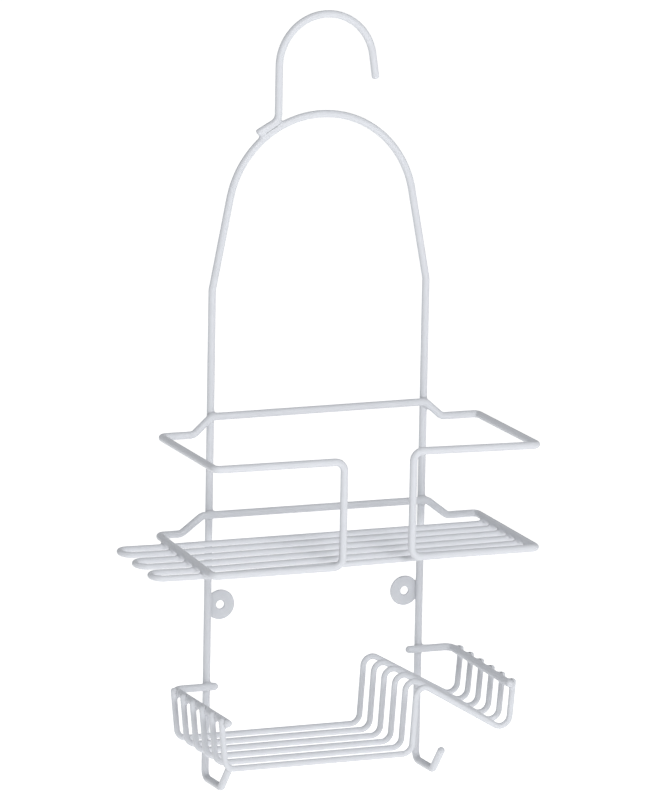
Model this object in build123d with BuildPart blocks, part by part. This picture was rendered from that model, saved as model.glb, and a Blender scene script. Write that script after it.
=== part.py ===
"""Shower caddy of plastic-coated steel wire, hung over a shower arm.

Millimetres. +Z is up, -Y is the front, +X is the right as seen from the front.
The origin is the hang point: the height of the shower arm's top under the hook's bend, in the
caddy's middle plane and in the plane of the frame wire.

Every wire is a steel core inside its own coating. The cores are welded, so each sinks a little
into the one that it crosses. The later wire of a pair carries the notch.
"""

import os
from math import cos, radians, sin, tan

from build123d import *

os.makedirs("parts", exist_ok=True)

# --- wire stock ---
coating = 0.3
thick_steel = 4.8
thin_steel = 3.7
weld_sink = 0.2
thick_on_thick = thick_steel - weld_sink
thick_on_thin = (thick_steel + thin_steel) / 2 - weld_sink

# --- frame wire: two uprights, an arch over them and a hook under each ---
upright_x = 82.4
kink_z = -191.0
arch_radius = 71.2
taper_angle = 10.9
kink_radius = 14.0
foot_z = -546.2
foot_reach = 31.0
foot_radius = 6.0
arm_run = 14.5
arm_rise = 17.0
arm_radius = 4.5
arch_centre_z = kink_z + (
    upright_x * cos(radians(taper_angle)) - arch_radius
) / sin(radians(taper_angle))

# --- top hook ---
bow_radius = 36.0
bow_centre_x = 2.0
bow_centre_z = thick_steel / 2 + coating - bow_radius
bow_tip_lean = 8.5
bow_tip_length = 14.5
tail_slope = 29.0
tail_length = 15.5
tail_bend_radius = 7.5

# --- shelf loop: upper and lower rail of one closed wire ---
upper_x = {"left": -121.8, "right": 123.3}
lower_x = {"left": -122.6, "right": 124.4}
shelf_back_y = -thick_on_thick
shelf_front_y = -110.3
upper_run_z = {"left": -281.5, "right": -280.4}
upper_back_z = {"left": -293.8, "right": -291.6}
upper_corner_z = {"left": -296.3, "right": -294.0}
upper_gap_z = {"left": -296.6, "right": -292.5}
lower_run_z = {"left": -352.8, "right": -352.8}
lower_back_z = {"left": -365.0, "right": -365.0}
lower_front_z = {"left": -371.8, "right": -368.4}
gap_x = {"left": -25.1, "right": 27.5}
upper_jog_x = {"left": (-83.5, -97.0), "right": (82.0, 95.0)}
lower_jog_x = {"left": (-89.2, -105.5), "right": (85.0, 101.0)}
shelf_corner_radius = 4.0
jog_radius = 7.0
drop_radius = 7.0

# --- shelf floor: hairpins under the lower rail ---
hairpin_count = 3
finger_x = -160.0
floor_end_x = lower_x["right"] + 1.6
leg_pitch = (shelf_back_y - shelf_front_y) / (2 * hairpin_count + 1)
finger_lift = 0.5

# --- tray: two end rails and six wires across them ---
tray_rail_x = {"left": -108.9, "right": 106.3}
tray_rail_z = {"left": -478.6, "right": -463.0}
tray_rail_droop = {"left": 0.0, "right": 3.5}
tray_stub_x = {"left": -78.0, "right": 73.5}
tray_back_y = -thick_on_thick
tray_front_y = -108.5
tray_rail_radius = 6.0
tray_wire_count = 6
tray_wire_first_y = -13.8
tray_wire_pitch = 18.4
tray_floor_z = -512.2
tray_left_foot_x = -109.3
tray_wall_foot_x = 31.0
tray_ridge_x = 34.3
tray_ridge_z = -458.9
tray_wing_x = 107.3
tray_wing_z = -499.5
tray_step = {"wall_x": 0.3, "ridge_z": -0.3, "wing_z": -0.66}
tray_wire_poke = {"left": 1.7, "right": 0.6}
tray_corner_radius = 7.5
tray_ridge_radius = 6.8

# --- coated washers for suction cups ---
washer_x = 71.7
washer_z = -420.4
washer_steel = {"diameter": 21.2, "hole": 6.6, "thickness": 1.2}
washer_y = thick_steel / 2 + washer_steel["thickness"] / 2 - weld_sink
washer_edge_radius = 0.5


def frame_line():
    """Centreline of the frame wire, from one lower hook's tip over the arch to the other's."""
    apex_z = kink_z + upright_x / tan(radians(taper_angle))
    left_half = [
        (-upright_x, -foot_reach - arm_run, foot_z + arm_rise),
        (-upright_x, -foot_reach, foot_z),
        (-upright_x, 0, foot_z),
        (-upright_x, 0, kink_z),
    ]
    right_half = [(-x, y, z) for x, y, z in reversed(left_half)]
    bends = [arm_radius, foot_radius, kink_radius]
    with BuildLine() as line:
        FilletPolyline(
            *left_half,
            (0, 0, apex_z),
            *right_half,
            radius=[*bends, arch_radius, *reversed(bends)],
        )
    return line.wire()


def top_hook_line():
    """Centreline of the top hook: a tail along the arch's shoulder, a stem and the bow."""
    stem_x = bow_centre_x - bow_radius
    slope = radians(tail_slope)
    reach = arch_radius + thick_on_thick
    touch_x = -reach * sin(slope)
    touch_z = arch_centre_z + reach * cos(slope)
    corner_z = touch_z + (stem_x - touch_x) * tan(slope)
    tail_end = (stem_x - tail_length * cos(slope), corner_z - tail_length * sin(slope))
    with BuildLine(Plane.XZ) as line:
        FilletPolyline(
            tail_end, (stem_x, corner_z), (stem_x, bow_centre_z), radius=tail_bend_radius
        )
        bow = CenterArc(
            (bow_centre_x, bow_centre_z), bow_radius, 180, -(180 - bow_tip_lean)
        )
        Line(bow @ 1, (bow @ 1) + (bow % 1) * bow_tip_length)
    return line.wire()


def jogged_back(side, run_z, jog_x, side_x, side_z):
    """Back run of a shelf rail, from its middle to a side: it drops just outside the upright."""
    inner_x, outer_x = jog_x[side]
    share = -jog_x["left"][0] / (jog_x["right"][0] - jog_x["left"][0])
    middle_z = run_z["left"] + (run_z["right"] - run_z["left"]) * share
    return [
        (0, shelf_back_y, middle_z),
        (inner_x, shelf_back_y, run_z[side]),
        (outer_x, shelf_back_y, side_z[side]),
        (side_x[side], shelf_back_y, side_z[side]),
    ]


def shelf_half_line(side):
    """Centreline of the left or right half of the closed shelf wire, cut at mid back."""
    upper_back = jogged_back(side, upper_run_z, upper_jog_x, upper_x, upper_back_z)
    lower_back = jogged_back(side, lower_run_z, lower_jog_x, lower_x, lower_back_z)
    front = [
        (upper_x[side], shelf_front_y, upper_corner_z[side]),
        (gap_x[side], shelf_front_y, upper_gap_z[side]),
        (gap_x[side], shelf_front_y, lower_front_z[side]),
        (lower_x[side], shelf_front_y, lower_front_z[side]),
    ]
    back_bends = [jog_radius, jog_radius, shelf_corner_radius]
    front_bends = [shelf_corner_radius, drop_radius, drop_radius, shelf_corner_radius]
    with BuildLine() as line:
        FilletPolyline(
            *upper_back,
            *front,
            *reversed(lower_back),
            radius=[*back_bends, *front_bends, *reversed(back_bends)],
        )
    return line.wire()


def under_lower_rail(side, y):
    """Height of a floor wire's centre where it is welded under a side rail at depth y."""
    share = (shelf_back_y - y) / (shelf_back_y - shelf_front_y)
    rail_z = lower_back_z[side] + (lower_front_z[side] - lower_back_z[side]) * share
    return rail_z - thick_on_thin


def hairpin_line(index):
    """Centreline of one floor hairpin: two legs under the shelf and a finger past its left side."""
    legs_y = [shelf_back_y - leg_pitch * (2 * index + leg) for leg in (1, 2)]
    legs = []
    for y in legs_y:
        left_z = under_lower_rail("left", y)
        right_z = under_lower_rail("right", y)
        slope = (right_z - left_z) / (lower_x["right"] - lower_x["left"])
        end = (floor_end_x, y, right_z + slope * (floor_end_x - lower_x["right"]))
        tip = (finger_x, y, left_z + finger_lift)
        legs.append((end, (lower_x["left"], y, left_z), tip))
    rear, front = legs
    with BuildLine() as line:
        FilletPolyline(
            *rear,
            *reversed(front),
            radius=[60, leg_pitch * 0.49, leg_pitch * 0.49, 60],
        )
    return line.wire()


def tray_rail_line(side):
    """Centreline of a tray end rail: a stub across the upright and a side run to the front."""
    x = tray_rail_x[side]
    z = tray_rail_z[side]
    with BuildLine() as line:
        FilletPolyline(
            (tray_stub_x[side], tray_back_y, z),
            (x, tray_back_y, z),
            (x, tray_front_y, z - tray_rail_droop[side]),
            radius=tray_rail_radius,
        )
    return line.wire()


def tray_wire_top(side, y):
    """End of a tray wire's centreline, on the outer face of an end rail."""
    share = (tray_back_y - y) / (tray_back_y - tray_front_y)
    rail_z = tray_rail_z[side] - tray_rail_droop[side] * share
    outward = {"left": -thick_on_thin, "right": thick_on_thin}[side]
    return (tray_rail_x[side] + outward, rail_z + tray_wire_poke[side])


def tray_wire_line(index):
    """Centreline of one tray wire: left wall, floor, right wall, ridge, sloping wing and end wall."""
    y = tray_wire_first_y - tray_wire_pitch * index
    wall_shift = tray_step["wall_x"] * index
    profile = [
        tray_wire_top("left", y),
        (tray_left_foot_x, tray_floor_z),
        (tray_wall_foot_x + wall_shift, tray_floor_z),
        (tray_ridge_x + wall_shift, tray_ridge_z + tray_step["ridge_z"] * index),
        (tray_wing_x, tray_wing_z + tray_step["wing_z"] * index),
        tray_wire_top("right", y),
    ]
    with BuildLine() as line:
        FilletPolyline(
            *[(x, y, z) for x, z in profile],
            radius=[
                tray_corner_radius,
                tray_corner_radius,
                tray_ridge_radius,
                tray_corner_radius,
            ],
        )
    return line.wire()


def round_bar(lines, diameter, ends):
    """A round bar along one or more centrelines, with ball ends where they are asked for."""
    with BuildPart() as bar:
        for line in lines:
            with BuildSketch(Plane(origin=line @ 0, z_dir=line % 0)):
                Circle(diameter / 2)
            sweep(path=line)
            if ends == "round":
                with Locations(line @ 0, line @ 1):
                    Sphere(diameter / 2)
    return bar.part


def washer(x, diameter, hole, thickness, edge_radius):
    """A flat ring standing in the plane of the washers."""
    with BuildPart() as ring:
        with BuildSketch(Plane.XZ.offset(-washer_y)):
            with Locations((x, washer_z)):
                Circle(diameter / 2)
                Circle(hole / 2, mode=Mode.SUBTRACT)
        extrude(amount=thickness / 2, both=True)
        if edge_radius:
            fillet(ring.edges(), radius=edge_radius)
    return ring.part


# --- every piece as whole bars: its steel, its coated outside and what it is welded to ---
steel = {}
outside = {}
welded_to = {}


def add_wire(name, lines, steel_diameter, neighbours, ends="round"):
    """Register a wire's bare and coated bars with the earlier pieces that it is welded to."""
    steel[name] = round_bar(lines, steel_diameter, "flat")
    outside[name] = round_bar(lines, steel_diameter + 2 * coating, ends)
    welded_to[name] = neighbours


add_wire("frame_wire", [frame_line()], thick_steel, [])
add_wire("top_hook", [top_hook_line()], thick_steel, ["frame_wire"])
shelf_halves = [shelf_half_line("left"), shelf_half_line("right")]
add_wire("shelf_loop", shelf_halves, thick_steel, ["frame_wire"], ends="joined")
for index, place in enumerate(["rear", "middle", "front"]):
    add_wire(f"shelf_hairpin_{place}", [hairpin_line(index)], thin_steel, ["shelf_loop"])
for side in ("left", "right"):
    add_wire(f"tray_rail_{side}", [tray_rail_line(side)], thick_steel, ["frame_wire"])
for index in range(tray_wire_count):
    rails = ["tray_rail_left", "tray_rail_right"]
    add_wire(f"tray_wire_{index + 1}", [tray_wire_line(index)], thin_steel, rails)
for side, x in (("left", -washer_x), ("right", washer_x)):
    name = f"washer_{side}"
    steel[name] = washer(x, **washer_steel, edge_radius=0)
    outside[name] = washer(
        x,
        diameter=washer_steel["diameter"] + 2 * coating,
        hole=washer_steel["hole"] - 2 * coating,
        thickness=washer_steel["thickness"] + 2 * coating,
        edge_radius=washer_edge_radius,
    )
    welded_to[name] = ["frame_wire"]


# --- the nodes: cores notched by earlier cores, coatings by every core and earlier coatings ---
for name in steel:
    later = [other for other in steel if name in welded_to[other]]

    with BuildPart() as core:
        add(steel[name])
        for other in welded_to[name]:
            add(steel[other], mode=Mode.SUBTRACT)
    core.part.label = f"{name}_steel"
    export_step(core.part, f"parts/{name}_steel.step")

    with BuildPart() as skin:
        add(outside[name])
        for other in welded_to[name]:
            add(outside[other], mode=Mode.SUBTRACT)
        for other in later:
            add(steel[other], mode=Mode.SUBTRACT)
        add(steel[name], mode=Mode.SUBTRACT)
    skin.part.label = f"{name}_coating"
    export_step(skin.part, f"parts/{name}_coating.step")

    print(f"{name}: steel {core.part.volume:.0f} mm3, coating {skin.part.volume:.0f} mm3")
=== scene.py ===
"""White plastic-coated wire shower caddy, hung over a shower arm.

Metres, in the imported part's own frame: +Z is up, -Y is the front and the origin is the hang point.
Every wire is drawn through one node tree: it rounds the bends of a line of corner points, lays the
coating along it and runs the coating together with that of the wires it is welded to.
"""

import math
from collections import namedtuple

import bpy
from mathutils import Matrix, Vector


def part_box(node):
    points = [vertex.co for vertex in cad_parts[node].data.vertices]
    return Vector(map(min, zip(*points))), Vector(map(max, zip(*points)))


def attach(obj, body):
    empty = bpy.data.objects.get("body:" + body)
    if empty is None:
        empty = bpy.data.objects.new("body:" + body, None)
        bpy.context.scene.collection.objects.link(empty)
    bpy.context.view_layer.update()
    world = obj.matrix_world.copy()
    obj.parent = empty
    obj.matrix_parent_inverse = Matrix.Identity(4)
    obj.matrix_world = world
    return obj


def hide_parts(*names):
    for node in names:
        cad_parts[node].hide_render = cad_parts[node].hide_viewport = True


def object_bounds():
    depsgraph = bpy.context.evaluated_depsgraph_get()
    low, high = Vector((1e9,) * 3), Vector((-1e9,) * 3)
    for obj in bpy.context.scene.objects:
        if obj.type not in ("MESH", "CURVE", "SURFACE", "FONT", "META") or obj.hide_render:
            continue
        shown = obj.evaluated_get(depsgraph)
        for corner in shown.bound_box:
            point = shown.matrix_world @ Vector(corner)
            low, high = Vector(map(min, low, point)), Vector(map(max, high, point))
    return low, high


bl_info = {
    "name": "Coated wire shower caddy",
    "version": (1, 0, 0),
    "blender": (4, 5, 0),
    "location": "3D View > Sidebar > Caddy",
    "description": "Builds the coated wires of a hanging shower caddy and a pale studio round it",
    "category": "Object",
}

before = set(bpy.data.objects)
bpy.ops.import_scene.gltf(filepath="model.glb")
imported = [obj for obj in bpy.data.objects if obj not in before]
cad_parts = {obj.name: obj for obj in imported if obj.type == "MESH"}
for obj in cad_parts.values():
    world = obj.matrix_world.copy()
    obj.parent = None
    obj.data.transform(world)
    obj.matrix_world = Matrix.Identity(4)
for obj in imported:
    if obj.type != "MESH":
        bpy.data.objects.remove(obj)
cad_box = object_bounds()

MM = 0.001
SIDES = ("left", "right")
HAIRPINS = ("rear", "middle", "front")
TRAY_WIRES = 6

# How a wire's coating is drawn out at a weld, and the least distance that is divided by.
WEB_STEPS = 5
DEEPEST_WELD = 0.8 * MM
TINY = 0.001 * MM

# The floor wires bend this gently at the left side rail.
FINGER_BEND = 60 * MM

# The two lamps, from the caddy's middle.
KEY_PLACE = Vector((0, -2.4, 1.2))
KEY_SIZE = 1.0
OVERHEAD_PLACE = Vector((0, -0.8, 3.0))
OVERHEAD_SIZE = 2.0
SENSOR_WIDTH = 36

Route = namedtuple("Route", "corners bends closed radius")


# --- sizes and colours ---


def length(name, description, millimetres):
    """A length property, given in millimetres and kept in metres."""
    return bpy.props.FloatProperty(
        name=name,
        description=description,
        default=millimetres * MM,
        subtype="DISTANCE",
        unit="LENGTH",
        precision=5,
    )


def pair(name, description, left, right):
    """Two lengths, for the left and the right of the caddy, given in millimetres."""
    return bpy.props.FloatVectorProperty(
        name=name,
        description=description,
        size=2,
        default=(left * MM, right * MM),
        unit="LENGTH",
        precision=5,
    )


def angle(name, description, degrees):
    """An angle property, given in degrees and kept in radians."""
    return bpy.props.FloatProperty(
        name=name,
        description=description,
        default=math.radians(degrees),
        subtype="ANGLE",
        unit="ROTATION",
    )


def share(name, description, default):
    """A plain number from 0 to 1."""
    return bpy.props.FloatProperty(
        name=name, description=description, default=default, min=0, max=1, subtype="FACTOR"
    )


def colour(name, description, default):
    """A colour property."""
    return bpy.props.FloatVectorProperty(
        name=name, description=description, default=default, min=0, max=1, subtype="COLOR"
    )


def power(name, description, default):
    """A lamp's power in watts."""
    return bpy.props.FloatProperty(
        name=name, description=description, default=default, min=0, unit="POWER"
    )


def box_size(node, side, axis, inset):
    """A coordinate of one side of a CAD node's box, moved inwards, in millimetres."""
    low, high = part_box(node)
    corner = high if side == "high" else low
    return corner[axis] / MM + (-inset if side == "high" else inset)


THICK = 5.4
THIN = 4.3


class CaddyStock(bpy.types.PropertyGroup):
    thick: length("Thick wire", "Diameter of the frame, shelf and rail wire over its coating", THICK)
    thin: length("Thin wire", "Diameter of the floor and tray wire over its coating", THIN)
    sink: length("Weld depth", "How far the coated wires of a weld press into each other", 0.8)
    web: length("Web width", "Reach of the coating that runs together at a weld", 3.4)
    plate_web: length("Washer web width", "Reach of the coating that runs together at a washer", 1.2)
    ring: length("Ring spacing", "Distance between the rings of a wire's mesh", 0.8)
    sides: bpy.props.IntProperty(
        name="Sides", description="Number of faces round a wire", default=24, min=8, max=48
    )


class CaddyFrame(bpy.types.PropertyGroup):
    upright_x: length(
        "Upright", "Middle plane to an upright", box_size("frame_wire_coating", "high", 0, THICK / 2)
    )
    kink_z: length("Kink height", "Where the uprights start to lean in", -191.0)
    taper: angle("Taper", "Lean of the arch's legs", 10.9)
    kink_radius: length("Kink radius", "Bend of the uprights into the arch's legs", 14.0)
    arch_radius: length("Arch radius", "Radius of the arch over the uprights", 71.2)
    foot_z: length(
        "Foot height",
        "Height of the wire under the lower hooks",
        box_size("frame_wire_coating", "low", 2, THICK / 2),
    )
    foot_reach: length("Foot reach", "Length of a lower hook's foot to the front", 31.0)
    foot_radius: length("Foot radius", "Bend of an upright into its foot", 6.0)
    arm_run: length("Hook run", "How far a lower hook's end reaches forwards", 14.5)
    arm_rise: length("Hook rise", "How far a lower hook's end reaches up", 17.0)
    arm_radius: length("Hook radius", "Bend of a foot into the hook's end", 4.5)


class CaddyTopHook(bpy.types.PropertyGroup):
    bow_radius: length("Bow radius", "Radius of the bow over the shower arm", 36.0)
    bow_centre_x: length("Bow offset", "The bow's centre from the middle plane", 2.0)
    tip_lean: angle("Tip lean", "How far the bow stops short of a half turn", 8.5)
    tip_length: length("Tip", "Straight end of the bow", 14.5)
    tail_slope: angle("Tail slope", "Slope of the tail on the arch's shoulder", 29.0)
    tail_length: length("Tail", "Length of the tail past the stem", 15.5)
    tail_radius: length("Tail radius", "Bend of the stem into the tail", 7.5)
    end_rounding: length("End rounding", "Rounding of the cut ends' edges", 1.5)


class CaddyShelf(bpy.types.PropertyGroup):
    upper_x: pair("Upper sides", "The upper rail's two sides", -121.8, 123.3)
    lower_x: pair("Lower sides", "The lower rail's two sides", -122.6, 124.4)
    front_y: length(
        "Front", "Depth of the front rails", box_size("shelf_loop_coating", "low", 1, THICK / 2)
    )
    upper_run: pair("Upper run", "Upper rail between the uprights", -281.5, -280.4)
    upper_back: pair("Upper back", "Upper rail's back corners", -293.8, -291.6)
    upper_corner: pair("Upper front", "Upper rail's front corners", -296.3, -294.0)
    upper_gap: pair("Upper gap ends", "Upper rail over the two drops", -296.6, -292.5)
    lower_run: pair("Lower run", "Lower rail between the uprights", -352.8, -352.8)
    lower_back: pair("Lower back", "Lower rail's back corners", -365.0, -365.0)
    lower_front: pair("Lower front", "Lower rail along the front", -371.8, -368.4)
    gap: pair("Gap", "The two drops beside the front opening", -25.1, 27.5)
    upper_inner: pair("Upper step tops", "Inner ends of the upper rail's steps", -83.5, 82.0)
    upper_outer: pair("Upper step feet", "Outer ends of the upper rail's steps", -97.0, 95.0)
    lower_inner: pair("Lower step tops", "Inner ends of the lower rail's steps", -89.2, 85.0)
    lower_outer: pair("Lower step feet", "Outer ends of the lower rail's steps", -105.5, 101.0)
    corner_radius: length("Corner radius", "Bends at the shelf's four corners", 4.0)
    step_radius: length("Step radius", "Bends of the steps and of the drops", 7.0)
    finger_x: length("Finger tips", "Where the floor's fingers end on the left", -160.0)
    finger_lift: length("Finger lift", "How far the fingers rise to their tips", 0.5)
    floor_overrun: length("Floor overrun", "Floor wire past the right side rail", 1.6)


class CaddyTray(bpy.types.PropertyGroup):
    rail_x: pair("End rails", "The two end rails", -108.9, 106.3)
    rail_z: pair("End rail heights", "Heights of the two end rails", -478.6, -463.0)
    rail_droop: pair("End rail droops", "How far the end rails sink to the front", 0.0, 3.5)
    stub_x: pair("Rail stubs", "Where the rails end past the uprights", -78.0, 73.5)
    front_y: length("Front", "Front ends of the end rails", -108.5)
    rail_radius: length("Rail radius", "Bend of an end rail", 6.0)
    first_y: length("First wire", "Depth of the rearmost tray wire", -13.8)
    pitch: length("Pitch", "Distance between tray wires", 18.4)
    floor_z: length("Floor", "Height of the tray's floor wires", -512.2)
    left_foot_x: length("Left foot", "Foot of the left wall", -109.3)
    wall_foot_x: length("Wall foot", "Foot of the soap rest's wall", 31.0)
    ridge_x: length("Ridge", "Crest between the tray and the soap rest", 34.3)
    ridge_z: length("Ridge height", "Height of the crest", -458.9)
    wing_x: length("Wing end", "Low end of the sloping soap rest", 107.3)
    wing_z: length("Wing height", "Height of the soap rest's low end", -499.5)
    wall_step: length("Wall step", "Shift of the wall from one wire to the next", 0.3)
    ridge_step: length("Crest step", "Drop of the crest from one wire to the next", 0.3)
    wing_step: length("Wing step", "Drop of the soap rest from one wire to the next", 0.66)
    poke: pair("Poke", "Height of the wires' tips over the rails' axes", 1.7, 0.6)
    corner_radius: length("Corner radius", "Bends at the tray's feet", 7.5)
    ridge_radius: length("Ridge radius", "Bend of the crest", 6.8)


class CaddyWashers(bpy.types.PropertyGroup):
    centre_x: pair("Centres", "The washers' centres", -71.7, 71.7)
    height: length("Height", "Height of the washers' centres", -420.4)
    depth: length("Depth", "The washers' plane behind the uprights", 2.8)
    diameter: length("Diameter", "Outer diameter over the coating", 21.8)
    hole: length("Hole", "Hole diameter in the coating", 6.0)
    thickness: length("Thickness", "Thickness over the coating", 1.8)


class CaddyFinish(bpy.types.PropertyGroup):
    coating: colour("Coating", "Colour of the plastic coating", (0.566, 0.580, 0.612))
    coating_deep: colour("Coating, thin", "Colour where the coating is thinner", (0.530, 0.545, 0.579))
    gloss: share("Roughness", "Roughness of the coating", 0.36)
    gloss_spread: share("Roughness spread", "How much the roughness wanders", 0.10)
    peel: length("Peel size", "Size of the coating's orange peel", 1.3)
    peel_depth: length("Peel depth", "Depth of the orange peel", 0.03)
    sag: length("Sag size", "Length of the slow swells in the coating", 9.0)
    sag_depth: length("Sag depth", "Depth of the slow swells", 0.10)
    steel: colour("Steel", "Colour of the drawn steel core", (0.56, 0.57, 0.58))
    steel_dull: colour("Steel, dull", "Colour of the core's dull streaks", (0.42, 0.42, 0.43))


class CaddyStudio(bpy.types.PropertyGroup):
    floor: colour("Floor", "Colour of the studio floor", (0.93, 0.93, 0.93))
    floor_z: length("Floor height", "Height of the floor under the caddy", -750.0)
    floor_radius: length("Floor radius", "Radius of the floor", 14000.0)
    glow: share("Floor glow", "Light that the floor gives off by itself, as a light table does", 0.70)
    walls: share("Walls", "Brightness of the studio near the horizon", 0.56)
    ceiling: share("Ceiling", "Brightness of the studio overhead", 0.36)
    key: power("Key light", "Power of the soft light at the front", 35.0)
    top: power("Top light", "Power of the soft light overhead", 16.0)
    azimuth: angle("View azimuth", "Direction of the camera, from the front to the right", -22.90)
    elevation: angle("View elevation", "Height of the camera over the horizon", 11.22)
    roll: angle("View roll", "Tilt of the camera", 1.07)
    distance: length("View distance", "Camera to the point that it looks at", 4463.8)
    aim_x: length("View centre", "The point that the camera looks at, from the middle plane", 8.38)
    aim_z: length("View height", "Height of the point that the camera looks at", -275.65)
    lens: bpy.props.FloatProperty(
        name="Lens", description="Focal length of the camera", default=280.9, min=1, unit="CAMERA"
    )


# --- routes: the corner points of each wire's axis, in metres ---


def stock():
    """The wire sizes in use."""
    return bpy.context.scene.caddy_stock


def thick_step():
    """Axis distance of two welded thick wires."""
    return stock().thick - stock().sink


def thin_step():
    """Axis distance of a thick wire and a thin one welded to it."""
    return (stock().thick + stock().thin) / 2 - stock().sink


def frame_route():
    """The frame wire: from one lower hook's end over the arch to the other's."""
    size = bpy.context.scene.caddy_frame
    left = [
        (-size.upright_x, -size.foot_reach - size.arm_run, size.foot_z + size.arm_rise),
        (-size.upright_x, -size.foot_reach, size.foot_z),
        (-size.upright_x, 0, size.foot_z),
        (-size.upright_x, 0, size.kink_z),
    ]
    right = [(-x, y, z) for x, y, z in reversed(left)]
    apex = (0, 0, size.kink_z + size.upright_x / math.tan(size.taper))
    bends = [0, size.arm_radius, size.foot_radius, size.kink_radius]
    return Route(
        [*left, apex, *right],
        [*bends, size.arch_radius, *reversed(bends)],
        False,
        stock().thick / 2,
    )


def top_hook_route():
    """The top hook: a tail on the arch's shoulder, a stem and the bow over the shower arm."""
    size = bpy.context.scene.caddy_top_hook
    arch = bpy.context.scene.caddy_frame
    bow = size.bow_radius
    bow_z = stock().thick / 2 - bow
    stem_x = size.bow_centre_x - bow
    slope = size.tail_slope
    reach = arch.arch_radius + thick_step()
    arch_z = arch.kink_z + (
        arch.upright_x * math.cos(arch.taper) - arch.arch_radius
    ) / math.sin(arch.taper)
    corner_z = (
        arch_z
        + reach * math.cos(slope)
        + (stem_x + reach * math.sin(slope)) * math.tan(slope)
    )
    tail = (
        stem_x - size.tail_length * math.cos(slope),
        0,
        corner_z - size.tail_length * math.sin(slope),
    )
    quarter = (math.pi - size.tip_lean) / 4
    corners = [tail, (stem_x, 0, corner_z)]
    for turned in (quarter, 3 * quarter):
        out = bow / math.cos(quarter)
        corners.append(
            (
                size.bow_centre_x - out * math.cos(turned),
                0,
                bow_z + out * math.sin(turned),
            )
        )
    lean = size.tip_lean
    corners.append(
        (
            size.bow_centre_x + bow * math.cos(lean) + size.tip_length * math.sin(lean),
            0,
            bow_z + bow * math.sin(lean) - size.tip_length * math.cos(lean),
        )
    )
    turn = bow * 0.9999
    return Route(corners, [0, size.tail_radius, turn, turn, 0], False, stock().thick / 2)


def shelf_half(side):
    """Corners and bends of one half of the shelf wire, from mid back up to mid back down."""
    size = bpy.context.scene.caddy_shelf
    which = SIDES.index(side)
    back = -thick_step()
    front = size.front_y
    upper_x, lower_x = size.upper_x[which], size.lower_x[which]
    gap = size.gap[which]
    corner = size.corner_radius
    step = size.step_radius
    return [
        ((size.upper_inner[which], back, size.upper_run[which]), step),
        ((size.upper_outer[which], back, size.upper_back[which]), step),
        ((upper_x, back, size.upper_back[which]), corner),
        ((upper_x, front, size.upper_corner[which]), corner),
        ((gap, front, size.upper_gap[which]), step),
        ((gap, front, size.lower_front[which]), step),
        ((lower_x, front, size.lower_front[which]), corner),
        ((lower_x, back, size.lower_back[which]), corner),
        ((size.lower_outer[which], back, size.lower_back[which]), step),
        ((size.lower_inner[which], back, size.lower_run[which]), step),
    ]


def shelf_loop_route():
    """The closed shelf wire: upper and lower rail, joined by the drops beside the front gap."""
    turns = shelf_half("right") + shelf_half("left")[::-1]
    return Route([p for p, _ in turns], [r for _, r in turns], True, stock().thick / 2)


def hairpin_route(index):
    """One hairpin of the shelf floor: two legs under the side rails and a finger on the left."""
    size = bpy.context.scene.caddy_shelf
    back = -thick_step()
    pitch = (back - size.front_y) / (2 * len(HAIRPINS) + 1)
    left_x, right_x = size.lower_x
    legs = []
    for leg in (1, 2):
        y = back - pitch * (2 * index + leg)
        depth = (back - y) / (back - size.front_y)
        left_z, right_z = (
            behind + (ahead - behind) * depth - thin_step()
            for behind, ahead in zip(size.lower_back, size.lower_front)
        )
        slope = (right_z - left_z) / (right_x - left_x)
        legs.append(
            [
                (right_x + size.floor_overrun, y, right_z + slope * size.floor_overrun),
                (left_x, y, left_z),
                (size.finger_x, y, left_z + size.finger_lift),
            ]
        )
    turn = pitch * 0.49
    bends = [0, FINGER_BEND, turn, turn, FINGER_BEND, 0]
    return Route(legs[0] + legs[1][::-1], bends, False, stock().thin / 2)


def tray_rail_route(side):
    """A tray end rail: a stub across the upright and a side run to the front."""
    size = bpy.context.scene.caddy_tray
    which = SIDES.index(side)
    x, z = size.rail_x[which], size.rail_z[which]
    back = -thick_step()
    front_z = z - size.rail_droop[which]
    corners = [(size.stub_x[which], back, z), (x, back, z), (x, size.front_y, front_z)]
    return Route(corners, [0, size.rail_radius, 0], False, stock().thick / 2)


def tray_wire_route(index):
    """A tray wire: left wall, floor, the wall up to the crest, the sloping soap rest and end wall."""
    size = bpy.context.scene.caddy_tray
    y = size.first_y - size.pitch * index
    depth = (-thick_step() - y) / (-thick_step() - size.front_y)
    shift = size.wall_step * index
    left_z, right_z = (
        z - droop * depth + poke for z, droop, poke in zip(size.rail_z, size.rail_droop, size.poke)
    )
    profile = [
        (size.rail_x[0] - thin_step(), left_z),
        (size.left_foot_x, size.floor_z),
        (size.wall_foot_x + shift, size.floor_z),
        (size.ridge_x + shift, size.ridge_z - size.ridge_step * index),
        (size.wing_x, size.wing_z - size.wing_step * index),
        (size.rail_x[1] + thin_step(), right_z),
    ]
    bend = size.corner_radius
    return Route(
        [(x, y, z) for x, z in profile],
        [0, bend, bend, size.ridge_radius, bend, 0],
        False,
        stock().thin / 2,
    )


# --- node nets ---


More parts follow.
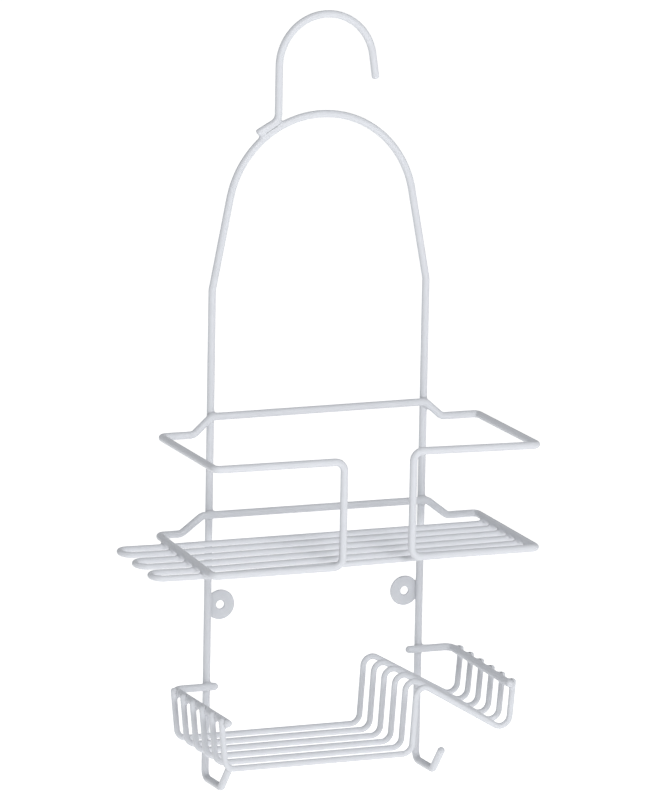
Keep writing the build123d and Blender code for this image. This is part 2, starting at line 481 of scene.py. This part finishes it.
class Lead:
    """One socket of a net, used in sums: an operator adds a Math node, or Vector Math for vectors."""

    def __init__(self, net, socket):
        self.net = net
        self.socket = socket

    def work(self, operation, *terms):
        vectors = [t for t in terms if isinstance(t, Lead) and t.socket.type == "VECTOR"]
        if operation == "MULTIPLY" and len(vectors) == 1:
            factor = terms[1] if terms[0] is vectors[0] else terms[0]
            return self.net.node(
                "ShaderNodeVectorMath", {"operation": "SCALE"}, {0: vectors[0], "Scale": factor}
            )["Vector"]
        kind = "ShaderNodeVectorMath" if vectors else "ShaderNodeMath"
        made = self.net.node(kind, {"operation": operation}, dict(enumerate(terms)))
        return made["Vector" if vectors and operation != "DOT_PRODUCT" else "Value"]

    def __add__(self, other):
        return self.work("ADD", self, other)

    def __radd__(self, other):
        return self.work("ADD", other, self)

    def __sub__(self, other):
        return self.work("SUBTRACT", self, other)

    def __rsub__(self, other):
        return self.work("SUBTRACT", other, self)

    def __mul__(self, other):
        return self.work("MULTIPLY", self, other)

    def __rmul__(self, other):
        return self.work("MULTIPLY", other, self)

    def __truediv__(self, other):
        return self.work("DIVIDE", self, other)

    def __rtruediv__(self, other):
        return self.work("DIVIDE", other, self)

    def __lt__(self, other):
        return self.work("LESS_THAN", self, other)

    def __gt__(self, other):
        return self.work("GREATER_THAN", self, other)

    def least(self, other):
        return self.work("MINIMUM", self, other)

    def most(self, other):
        return self.work("MAXIMUM", self, other)

    def root(self):
        return self.work("SQRT", self)

    def cosine(self):
        return self.work("COSINE", self)

    def dot(self, other):
        return self.work("DOT_PRODUCT", self, other)


class Made:
    """A node that has been added; indexing it gives an output as a Lead."""

    def __init__(self, net, node):
        self.net = net
        self.node = node

    def __getitem__(self, name):
        return Lead(self.net, pick(self.node.outputs, name))


class Net:
    """A node tree and the one method that adds its nodes."""

    def __init__(self, tree):
        self.tree = tree

    def node(self, kind, settings, sockets):
        node = self.tree.nodes.new(kind)
        for name, value in settings.items():
            setattr(node, name, value)
        for name, value in sockets.items():
            socket = pick(node.inputs, name)
            if isinstance(value, Lead):
                self.tree.links.new(value.socket, socket)
            else:
                socket.default_value = value
        return Made(self, node)


def pick(sockets, name):
    """A socket by its number, or by its name among those in use."""
    if isinstance(name, int):
        return sockets[name]
    return next(s for s in sockets if s.enabled and s.name == name)


def geometry_net(name, inputs):
    """A geometry node group with the named inputs, its net and its input node."""
    tree = bpy.data.node_groups.new(name, "GeometryNodeTree")
    tree.is_modifier = True
    tree.interface.new_socket("Geometry", in_out="OUTPUT", socket_type="NodeSocketGeometry")
    tree.interface.new_socket("Geometry", in_out="INPUT", socket_type="NodeSocketGeometry")
    for label, kind in inputs.items():
        tree.interface.new_socket(label, in_out="INPUT", socket_type=f"NodeSocket{kind}")
    net = Net(tree)
    return net, net.node("NodeGroupInput", {}, {})


def attribute(net, name):
    """A number kept on the points."""
    return net.node("GeometryNodeInputNamedAttribute", {"data_type": "FLOAT"}, {"Name": name})[
        "Attribute"
    ]


def rounded_line(net, corners, ring):
    """A mesh of corner points as evenly divided curves with rounded bends."""
    line = net.node("GeometryNodeMeshToCurve", {}, {"Mesh": corners})["Curve"]
    line = net.node(
        "GeometryNodeFilletCurve",
        {"mode": "POLY"},
        {"Curve": line, "Count": 48, "Radius": attribute(net, "bend"), "Limit Radius": False},
    )["Curve"]
    return net.node("GeometryNodeResampleCurve", {"mode": "LENGTH"}, {"Curve": line, "Length": ring})[
        "Curve"
    ]


def bare_line(net, curve):
    """A curve as a line of edges, to measure from."""
    return net.node("GeometryNodeCurveToMesh", {}, {"Curve": curve})["Mesh"]


def away_from(net, geometry, element, half):
    """How far a point stands off a wire or plate with this half thickness, and straight out of it."""
    here = net.node("GeometryNodeInputPosition", {}, {})["Position"]
    near = net.node("GeometryNodeProximity", {"target_element": element}, {"Geometry": geometry})
    apart = near["Distance"]
    outwards = (here - near["Position"]) * (1 / apart.most(TINY))
    missing = 1 - near["Is Valid"]
    return apart - half + missing, outwards


def run_together(net, mesh, own, neighbour):
    """Draw a coated surface over to its neighbour's near a weld, as one smooth web of coating."""
    own_gap, own_out = own
    gap, out, web = neighbour
    near_weld = (gap < web) * (gap > -DEEPEST_WELD)
    mesh = net.node(
        "GeometryNodeStoreNamedAttribute",
        {"data_type": "FLOAT", "domain": "POINT"},
        {"Geometry": mesh, "Name": "near_weld", "Value": near_weld},
    )["Geometry"]
    chosen = attribute(net, "near_weld") > 0.5
    part = (0.5 + (gap - own_gap) * 0.5 / web).most(0).least(1)
    level = gap + (own_gap - gap) * part - web * part * (1 - part)
    slope = own_out * part + out * (1 - part)
    step = slope * (-1 * level / slope.dot(slope).most(0.2))
    for _ in range(WEB_STEPS):
        mesh = net.node(
            "GeometryNodeSetPosition", {}, {"Geometry": mesh, "Selection": chosen, "Offset": step}
        )["Geometry"]
    return net.node("GeometryNodeRemoveAttribute", {}, {"Geometry": mesh, "Name": "near_weld"})[
        "Geometry"
    ]


def finish_net(net, mesh, material):
    """Smooth shading, real geometry and the coating's material, as the group's result."""
    mesh = net.node("GeometryNodeSetShadeSmooth", {}, {"Geometry": mesh})["Geometry"]
    mesh = net.node("GeometryNodeRealizeInstances", {}, {"Geometry": mesh})["Geometry"]
    mesh = net.node("GeometryNodeSetMaterial", {}, {"Geometry": mesh, "Material": material})[
        "Geometry"
    ]
    net.node("NodeGroupOutput", {}, {"Geometry": mesh})
    return net.tree


def neighbour_gap(net, given):
    """Stand-off from the nearest welded wire or washer, straight out of it, and the web's reach."""
    wires = net.node(
        "GeometryNodeObjectInfo", {}, {"Object": given["Welded wires"], "As Instance": False}
    )["Geometry"]
    wires = bare_line(net, rounded_line(net, wires, given["Ring"]))
    nearest = net.node("GeometryNodeSampleNearest", {"domain": "POINT"}, {"Geometry": wires})["Index"]
    half = net.node(
        "GeometryNodeSampleIndex",
        {"data_type": "FLOAT", "domain": "POINT"},
        {"Geometry": wires, "Value": attribute(net, "half"), "Index": nearest},
    )["Value"]
    wire_gap, wire_out = away_from(net, wires, "EDGES", half)
    plates = net.node(
        "GeometryNodeObjectInfo", {}, {"Object": given["Welded plates"], "As Instance": False}
    )["Geometry"]
    plate_gap, plate_out = away_from(net, plates, "FACES", given["Plate half"])
    plate_wins = plate_gap < wire_gap
    out = wire_out * (1 - plate_wins) + plate_out * plate_wins
    web = given["Web"] * (1 - plate_wins) + given["Plate web"] * plate_wins
    return wire_gap.least(plate_gap), out, web


def wire_tree():
    """A coated wire along a line of corner points, run together with its neighbours at the welds."""
    if "Coated wire" in bpy.data.node_groups:
        return bpy.data.node_groups["Coated wire"]
    net, given = geometry_net(
        "Coated wire",
        {
            "Half": "Float",
            "End rounding": "Float",
            "Closed": "Bool",
            "Ring": "Float",
            "Sides": "Int",
            "Web": "Float",
            "Plate web": "Float",
            "Welded wires": "Object",
            "Welded plates": "Object",
            "Plate half": "Float",
            "Coating": "Material",
        },
    )
    half = given["Half"]
    line = rounded_line(net, given["Geometry"], given["Ring"])

    whole = net.node("GeometryNodeSplineLength", {}, {})["Length"]
    trimmed = net.node(
        "GeometryNodeTrimCurve", {"mode": "LENGTH"}, {"Curve": line, "Start": half, "End": whole - half}
    )["Curve"]
    axis = net.node(
        "GeometryNodeSwitch",
        {"input_type": "GEOMETRY"},
        {"Switch": given["Closed"], "False": trimmed, "True": line},
    )["Output"]
    own = away_from(net, bare_line(net, axis), "EDGES", half)

    run = net.node("GeometryNodeSplineParameter", {}, {})["Length"]
    from_end = run.least(whole - run) + given["Closed"]
    zone = half * 1.05
    eased = zone * (1 - ((from_end / zone).least(1) * (math.pi / 2)).cosine())
    depth = eased + (from_end - zone).most(0)
    rounding = given["End rounding"]
    left_over = (rounding - depth).most(0)
    thickness = half - rounding + (rounding * rounding - left_over * left_over).most(0).root()
    line = net.node(
        "GeometryNodeSetCurveRadius", {}, {"Curve": line, "Radius": thickness.most(0.03 * MM)}
    )["Curve"]
    tangent = net.node("GeometryNodeInputTangent", {}, {})["Tangent"]
    towards = 1 - 2 * (run < whole * 0.5)
    line = net.node(
        "GeometryNodeSetPosition",
        {},
        {"Geometry": line, "Offset": tangent * ((from_end - depth) * towards)},
    )["Geometry"]

    section = net.node(
        "GeometryNodeCurvePrimitiveCircle", {}, {"Resolution": given["Sides"], "Radius": 1}
    )
    mesh = net.node(
        "GeometryNodeCurveToMesh",
        {},
        {
            "Curve": line,
            "Profile Curve": section["Curve"],
            "Scale": net.node("GeometryNodeInputRadius", {}, {})["Radius"],
            "Fill Caps": True,
        },
    )["Mesh"]
    mesh = run_together(net, mesh, own, neighbour_gap(net, given))
    return finish_net(net, mesh, given["Coating"])


def washer_tree():
    """A coated washer standing in a plane of constant depth, run together with its upright."""
    if "Coated washer" in bpy.data.node_groups:
        return bpy.data.node_groups["Coated washer"]
    net, given = geometry_net(
        "Coated washer",
        {
            "Centre": "Vector",
            "Diameter": "Float",
            "Hole": "Float",
            "Thickness": "Float",
            "Ring": "Float",
            "Sides": "Int",
            "Web": "Float",
            "Plate web": "Float",
            "Welded wires": "Object",
            "Welded plates": "Object",
            "Plate half": "Float",
            "Coating": "Material",
        },
    )
    outer, hole, thickness = given["Diameter"] * 0.5, given["Hole"] * 0.5, given["Thickness"]
    ring = net.node(
        "GeometryNodeCurvePrimitiveCircle", {}, {"Resolution": 96, "Radius": (outer + hole) * 0.5}
    )["Curve"]
    section = net.node(
        "GeometryNodeCurvePrimitiveQuadrilateral", {}, {"Width": outer - hole, "Height": thickness}
    )["Curve"]
    section = net.node(
        "GeometryNodeFilletCurve",
        {"mode": "POLY"},
        {"Curve": section, "Count": 6, "Radius": thickness * 0.42},
    )["Curve"]
    section = net.node(
        "GeometryNodeResampleCurve", {"mode": "LENGTH"}, {"Curve": section, "Length": 0.35 * MM}
    )["Curve"]
    mesh = net.node("GeometryNodeCurveToMesh", {}, {"Curve": ring, "Profile Curve": section})["Mesh"]
    mesh = net.node(
        "GeometryNodeTransform",
        {},
        {"Geometry": mesh, "Translation": given["Centre"], "Rotation": (math.pi / 2, 0, 0)},
    )["Geometry"]

    here = net.node("GeometryNodeInputPosition", {}, {})["Position"]
    apart = net.node("ShaderNodeSeparateXYZ", {}, {0: here - given["Centre"]})
    across = (apart["X"] * apart["X"] + apart["Z"] * apart["Z"]).root()
    radial = net.node(
        "ShaderNodeCombineXYZ", {}, {"X": apart["X"] / across, "Y": 0, "Z": apart["Z"] / across}
    )["Vector"]
    nearest = across.most(hole + thickness * 0.5).least(outer - thickness * 0.5)
    rest = (here - given["Centre"]) - radial * nearest
    away = net.node("ShaderNodeVectorMath", {"operation": "LENGTH"}, {0: rest})["Value"]
    own = (away - thickness * 0.5, rest * (1 / away.most(TINY)))
    mesh = run_together(net, mesh, own, neighbour_gap(net, given))
    return finish_net(net, mesh, given["Coating"])


# --- materials ---


def new_material(name):
    """An empty node material with its net, its shader's settings still to come."""
    material = bpy.data.materials.new(name)
    material.use_nodes = True
    material.node_tree.nodes.clear()
    return material, Net(material.node_tree)


def noise(net, place, scale, detail, roughness):
    """Noise from 0 to 1, with this many swells to the metre."""
    sockets = {"Vector": place, "Scale": scale, "Detail": detail, "Roughness": roughness}
    return net.node("ShaderNodeTexNoise", {}, sockets)["Fac"]


def coating_material():
    """Satin white plastic: a fine orange peel, slow swells and a slightly uneven colour and gloss."""
    if "White coating" in bpy.data.materials:
        return bpy.data.materials["White coating"]
    look = bpy.context.scene.caddy_finish
    material, net = new_material("White coating")
    place = net.node("ShaderNodeTexCoord", {}, {})["Object"]
    peel = noise(net, place, 1 / look.peel, 2, 0.5)
    swell = noise(net, place, 1 / look.sag, 3, 0.45)
    cloud = noise(net, place, 14, 4, 0.6)
    tint = net.node(
        "ShaderNodeMix",
        {"data_type": "RGBA"},
        {
            "Factor": (cloud * 0.6 + swell * 0.8 - 0.2).most(0).least(1),
            "A": (*look.coating_deep, 1),
            "B": (*look.coating, 1),
        },
    )["Result"]
    dull = look.gloss + (peel - 0.5) * look.gloss_spread + (cloud - 0.5) * look.gloss_spread
    height = peel * look.peel_depth + swell * look.sag_depth
    bump = net.node("ShaderNodeBump", {}, {"Strength": 1, "Distance": 1, "Height": height})["Normal"]
    shader = net.node(
        "ShaderNodeBsdfPrincipled",
        {},
        {
            "Base Color": tint,
            "Roughness": dull.most(0.1).least(0.9),
            "Specular IOR Level": 0.3,
            "Normal": bump,
        },
    )["BSDF"]
    net.node("ShaderNodeOutputMaterial", {}, {"Surface": shader})
    return material


def steel_material():
    """Drawn steel wire: bright metal with fine dull streaks and a light grain."""
    look = bpy.context.scene.caddy_finish
    material, net = new_material("Drawn steel")
    place = net.node("ShaderNodeTexCoord", {}, {})["Object"]
    streaks = noise(net, place, 420, 5, 0.65)
    blotches = noise(net, place, 35, 3, 0.5)
    tint = net.node(
        "ShaderNodeMix",
        {"data_type": "RGBA"},
        {"Factor": blotches, "A": (*look.steel_dull, 1), "B": (*look.steel, 1)},
    )["Result"]
    bump = net.node(
        "ShaderNodeBump", {}, {"Strength": 0.6, "Distance": 1, "Height": streaks * (0.02 * MM)}
    )["Normal"]
    shader = net.node(
        "ShaderNodeBsdfPrincipled",
        {},
        {"Base Color": tint, "Metallic": 1, "Roughness": 0.3 + streaks * 0.2, "Normal": bump},
    )["BSDF"]
    net.node("ShaderNodeOutputMaterial", {}, {"Surface": shader})
    return material


def floor_material():
    """Pale matt paper for the studio floor."""
    look = bpy.context.scene.caddy_studio
    material, net = new_material("Pale floor")
    place = net.node("ShaderNodeTexCoord", {}, {})["Object"]
    grain = noise(net, place, 60, 3, 0.5)
    tint = net.node(
        "ShaderNodeMix",
        {"data_type": "RGBA"},
        {"Factor": grain, "A": (*[0.985 * c for c in look.floor], 1), "B": (*look.floor, 1)},
    )["Result"]
    shader = net.node(
        "ShaderNodeBsdfPrincipled",
        {},
        {
            "Base Color": tint,
            "Roughness": 0.8 + grain * 0.1,
            "Specular IOR Level": 0.2,
            "Emission Color": (1, 1, 1, 1),
            "Emission Strength": look.glow,
        },
    )["BSDF"]
    net.node("ShaderNodeOutputMaterial", {}, {"Surface": shader})
    return material


# --- pieces ---


def link(name, data):
    """A new object in the scene."""
    made = bpy.data.objects.new(name, data)
    bpy.context.scene.collection.objects.link(made)
    return made


def run_on(route):
    """The same route with its open ends carried on by the half thickness, to the coating's ends."""
    points = [Vector(p) for p in route.corners]
    if not route.closed:
        for end, inner in ((0, 1), (-1, -2)):
            points[end] = points[end] + (points[end] - points[inner]).normalized() * route.radius
    return route._replace(corners=points)


def corner_mesh(name, routes):
    """Routes as lines of corner points, each with its bend radius and its wire's half thickness."""
    mesh = bpy.data.meshes.new(name)
    points, edges, bends, halves = [], [], [], []
    for route in routes:
        first = len(points)
        count = len(route.corners)
        points += [tuple(p) for p in route.corners]
        edges += [(first + i, first + i + 1) for i in range(count - 1)]
        if route.closed:
            edges.append((first + count - 1, first))
        bends += route.bends
        halves += [route.radius] * count
    mesh.from_pydata(points, edges, [])
    for label, values in (("bend", bends), ("half", halves)):
        mesh.attributes.new(label, "FLOAT", "POINT").data.foreach_set("value", values)
    return mesh


def plate_mesh(centres):
    """The middle planes of the washers as rings of faces."""
    size = bpy.context.scene.caddy_washers
    mesh = bpy.data.meshes.new("washer planes")
    inset = size.thickness / 2
    points, faces = [], []
    around = 64
    for centre in centres:
        first = len(points)
        for step in range(around):
            turn = 2 * math.pi * step / around
            for reach in (size.hole / 2 + inset, size.diameter / 2 - inset):
                arm = Vector((math.cos(turn), 0, math.sin(turn))) * reach
                points.append(tuple(centre + arm))
            a, b = first + 2 * step, first + 2 * ((step + 1) % around)
            faces.append((a, a + 1, b + 1, b))
    mesh.from_pydata(points, [], faces)
    return mesh


def washer_centre(side):
    """Centre of a washer."""
    size = bpy.context.scene.caddy_washers
    return Vector((size.centre_x[SIDES.index(side)], size.depth, size.height))


def make_piece(name, mesh, tree, inputs):
    """Run a node tree on a mesh, keep the result and let it stand for the CAD coating."""
    piece = bpy.data.objects.new(name, mesh)
    modifier = piece.modifiers.new("shape", "NODES")
    modifier.node_group = tree
    for item in tree.interface.items_tree:
        if item.in_out == "INPUT" and item.name in inputs:
            modifier[item.identifier] = inputs[item.name]
    bpy.context.scene.collection.objects.link(piece)
    bpy.context.view_layer.update()
    graph = bpy.context.evaluated_depsgraph_get()
    result = bpy.data.meshes.new_from_object(piece.evaluated_get(graph), depsgraph=graph)
    piece.modifiers.remove(modifier)
    piece.data = result
    result.name = name
    check_fit(piece, f"{name}_coating", inputs["Web"])
    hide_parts(f"{name}_coating")
    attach(piece, "root")


def check_fit(piece, node, slack):
    """Raise an error if a piece has left the place of the CAD node that it stands for."""
    low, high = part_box(node)
    spots = [v.co for v in piece.data.vertices]
    if not spots:
        raise RuntimeError(f"{piece.name} came out empty")
    for axis in range(3):
        below = min(s[axis] for s in spots) - low[axis]
        above = max(s[axis] for s in spots) - high[axis]
        if not (-slack < below < 0.5 * MM and -0.5 * MM < above < slack):
            raise RuntimeError(
                f"{piece.name} doesn't fit {node} on axis {axis}: {below / MM:.2f}, {above / MM:.2f} mm"
            )


def welded(wires, plates=()):
    """The inputs that say what a piece is welded to, and the helpers to clear away afterwards."""
    size = bpy.context.scene.caddy_washers
    lines = link("welded lines", corner_mesh("welded lines", wires))
    planes = link("welded planes", plate_mesh(plates))
    inputs = {
        "Ring": stock().ring,
        "Sides": stock().sides,
        "Web": stock().web,
        "Plate web": stock().plate_web,
        "Welded wires": lines,
        "Welded plates": planes,
        "Plate half": size.thickness / 2,
        "Coating": coating_material(),
    }
    return inputs, (lines, planes)


def make_wire(name, route, wires, plates=(), rounding=None):
    """One coated wire along its route."""
    inputs, helpers = welded(wires, plates)
    inputs["Half"] = route.radius
    inputs["End rounding"] = route.radius if rounding is None else rounding
    inputs["Closed"] = route.closed
    make_piece(name, corner_mesh(name, [run_on(route)]), wire_tree(), inputs)
    for helper in helpers:
        bpy.data.objects.remove(helper)


# --- operators ---


class CaddyOperator:
    """What the caddy's operators share: each can be undone, and raises an error if it can't finish."""

    bl_options = {"REGISTER", "UNDO"}


class CADDY_OT_frame_wire(CaddyOperator, bpy.types.Operator):
    """Bend the frame wire: two uprights, the arch over them and a hook under each"""

    bl_idname = "caddy.frame_wire"
    bl_label = "Frame wire"

    def execute(self, context):
        rails = [tray_rail_route(side) for side in SIDES]
        centres = [washer_centre(side) for side in SIDES]
        wires = [top_hook_route(), shelf_loop_route(), *rails]
        make_wire("frame_wire", frame_route(), wires, centres)
        return {"FINISHED"}


class CADDY_OT_top_hook(CaddyOperator, bpy.types.Operator):
    """Bend the top hook that hangs the caddy over a shower arm"""

    bl_idname = "caddy.top_hook"
    bl_label = "Top hook"

    def execute(self, context):
        rounding = context.scene.caddy_top_hook.end_rounding
        make_wire("top_hook", top_hook_route(), [frame_route()], rounding=rounding)
        return {"FINISHED"}


class CADDY_OT_shelf_loop(CaddyOperator, bpy.types.Operator):
    """Bend the closed shelf wire with its upper and lower rail"""

    bl_idname = "caddy.shelf_loop"
    bl_label = "Shelf loop"

    def execute(self, context):
        floor = [hairpin_route(index) for index in range(len(HAIRPINS))]
        make_wire("shelf_loop", shelf_loop_route(), [frame_route(), *floor])
        return {"FINISHED"}


class CADDY_OT_shelf_floor(CaddyOperator, bpy.types.Operator):
    """Bend the three hairpins of the shelf floor, with their fingers on the left"""

    bl_idname = "caddy.shelf_floor"
    bl_label = "Shelf floor"

    def execute(self, context):
        for index, place in enumerate(HAIRPINS):
            make_wire(f"shelf_hairpin_{place}", hairpin_route(index), [shelf_loop_route()])
        return {"FINISHED"}


class CADDY_OT_tray_rails(CaddyOperator, bpy.types.Operator):
    """Bend the two end rails that carry the tray"""

    bl_idname = "caddy.tray_rails"
    bl_label = "Tray end rails"

    def execute(self, context):
        wires = [tray_wire_route(index) for index in range(TRAY_WIRES)]
        for side in SIDES:
            make_wire(f"tray_rail_{side}", tray_rail_route(side), [frame_route(), *wires])
        return {"FINISHED"}


class CADDY_OT_tray_wires(CaddyOperator, bpy.types.Operator):
    """Bend the six wires of the tray and its sloping soap rest"""

    bl_idname = "caddy.tray_wires"
    bl_label = "Tray wires"

    def execute(self, context):
        rails = [tray_rail_route(side) for side in SIDES]
        for index in range(TRAY_WIRES):
            make_wire(f"tray_wire_{index + 1}", tray_wire_route(index), rails)
        return {"FINISHED"}


class CADDY_OT_washers(CaddyOperator, bpy.types.Operator):
    """Press the two coated washers that hold suction cups"""

    bl_idname = "caddy.washers"
    bl_label = "Washers"

    def execute(self, context):
        size = context.scene.caddy_washers
        for side in SIDES:
            inputs, helpers = welded([frame_route()])
            inputs["Centre"] = washer_centre(side)
            inputs["Diameter"] = size.diameter
            inputs["Hole"] = size.hole
            inputs["Thickness"] = size.thickness
            inputs["Web"] = stock().plate_web
            name = f"washer_{side}"
            make_piece(name, bpy.data.meshes.new(name), washer_tree(), inputs)
            for helper in helpers:
                bpy.data.objects.remove(helper)
        return {"FINISHED"}


class CADDY_OT_steel_cores(CaddyOperator, bpy.types.Operator):
    """Give the steel cores inside the coating their drawn finish"""

    bl_idname = "caddy.steel_cores"
    bl_label = "Steel cores"

    def execute(self, context):
        steel = steel_material()
        for name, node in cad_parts.items():
            if name.endswith("_steel"):
                for slot in node.material_slots:
                    slot.material = steel
        return {"FINISHED"}


class CADDY_OT_studio(CaddyOperator, bpy.types.Operator):
    """Set up the pale floor, the soft lights and the camera"""

    bl_idname = "caddy.studio"
    bl_label = "Studio"

    def execute(self, context):
        look = context.scene.caddy_studio
        lay_floor(look)
        light_studio(look)
        place_camera(look)
        return {"FINISHED"}


def lay_floor(look):
    """A large round floor, far enough under the caddy to take no shadow of it."""
    around = 96
    turns = [2 * math.pi * step / around for step in range(around)]
    rim = [
        (look.floor_radius * math.cos(t), look.floor_radius * math.sin(t), look.floor_z) for t in turns
    ]
    mesh = bpy.data.meshes.new("floor")
    mesh.from_pydata(rim, [], [tuple(range(around))])
    mesh.materials.append(floor_material())
    link("floor", mesh)


def add_lamp(name, place, target, size, watts):
    """A square soft light that faces a point."""
    lamp = bpy.data.lights.new(name, "AREA")
    lamp.size = size
    lamp.energy = watts
    made = link(name, lamp)
    made.location = place
    made.rotation_euler = (Vector(target) - Vector(place)).to_track_quat("-Z", "Y").to_euler()
    return made


def light_studio(look):
    """An even pale studio, a broad light overhead and a key light at the front."""
    world = bpy.data.worlds.new("studio")
    world.use_nodes = True
    world.node_tree.nodes.clear()
    net = Net(world.node_tree)
    direction = net.node("ShaderNodeTexCoord", {}, {})["Generated"]
    rise = net.node("ShaderNodeSeparateXYZ", {}, {0: direction})["Z"]
    overhead = ((rise - 0.2) * 4).most(0).least(1)
    sky = net.node(
        "ShaderNodeBackground",
        {},
        {
            "Color": (0.98, 0.99, 1.0, 1),
            "Strength": look.walls + (look.ceiling - look.walls) * overhead,
        },
    )["Background"]
    net.node("ShaderNodeOutputWorld", {}, {"Surface": sky})
    bpy.context.scene.world = world
    middle = (cad_box[0] + cad_box[1]) / 2
    add_lamp("key", middle + KEY_PLACE, middle, KEY_SIZE, look.key)
    add_lamp("overhead", middle + OVERHEAD_PLACE, middle, OVERHEAD_SIZE, look.top)
    bpy.context.scene.view_settings.view_transform = "Standard"


def place_camera(look):
    """A long lens at the viewing angle, aimed at the middle of the caddy's back plane."""
    a, e, r = look.azimuth, look.elevation, look.roll
    back = Vector((math.sin(a) * math.cos(e), -math.cos(a) * math.cos(e), math.sin(e)))
    level = Vector((math.cos(a), math.sin(a), 0))
    upright = back.cross(level)
    right = level * math.cos(r) + upright * math.sin(r)
    up = upright * math.cos(r) - level * math.sin(r)
    place = Vector((look.aim_x, 0, look.aim_z)) + back * look.distance
    camera = bpy.data.cameras.new("camera")
    camera.sensor_width = SENSOR_WIDTH
    camera.lens = look.lens
    camera.clip_end = 100
    made = link("camera", camera)
    axes = Matrix((right, up, back)).transposed().to_4x4()
    made.matrix_world = Matrix.Translation(place) @ axes
    bpy.context.scene.camera = made


STEPS = (
    "frame_wire",
    "top_hook",
    "shelf_loop",
    "shelf_floor",
    "tray_rails",
    "tray_wires",
    "washers",
    "steel_cores",
    "studio",
)


class CADDY_PT_sidebar(bpy.types.Panel):
    """The caddy's sizes and the steps that build it"""

    bl_idname = "CADDY_PT_sidebar"
    bl_label = "Shower caddy"
    bl_space_type = "VIEW_3D"
    bl_region_type = "UI"
    bl_category = "Caddy"

    def draw(self, context):
        for step in STEPS:
            self.layout.operator(f"caddy.{step}")
        for name, group in GROUPS.items():
            box = self.layout.box()
            box.label(text=name.replace("_", " "))
            for field in group.__annotations__:
                box.prop(getattr(context.scene, name), field)


GROUPS = {
    "caddy_stock": CaddyStock,
    "caddy_frame": CaddyFrame,
    "caddy_top_hook": CaddyTopHook,
    "caddy_shelf": CaddyShelf,
    "caddy_tray": CaddyTray,
    "caddy_washers": CaddyWashers,
    "caddy_finish": CaddyFinish,
    "caddy_studio": CaddyStudio,
}

CLASSES = (
    *GROUPS.values(),
    CADDY_OT_frame_wire,
    CADDY_OT_top_hook,
    CADDY_OT_shelf_loop,
    CADDY_OT_shelf_floor,
    CADDY_OT_tray_rails,
    CADDY_OT_tray_wires,
    CADDY_OT_washers,
    CADDY_OT_steel_cores,
    CADDY_OT_studio,
    CADDY_PT_sidebar,
)


def register():
    """Register the classes and hang the sizes on the scene."""
    for entry in CLASSES:
        bpy.utils.register_class(entry)
    for name, group in GROUPS.items():
        setattr(bpy.types.Scene, name, bpy.props.PointerProperty(type=group))


def unregister():
    """Take the sizes and the classes away again."""
    for name in GROUPS:
        delattr(bpy.types.Scene, name)
    for entry in reversed(CLASSES):
        bpy.utils.unregister_class(entry)


def main():
    """Build the caddy and its studio."""
    register()
    for step in STEPS:
        getattr(bpy.ops.caddy, step)()


if __name__ == "__main__":
    main()
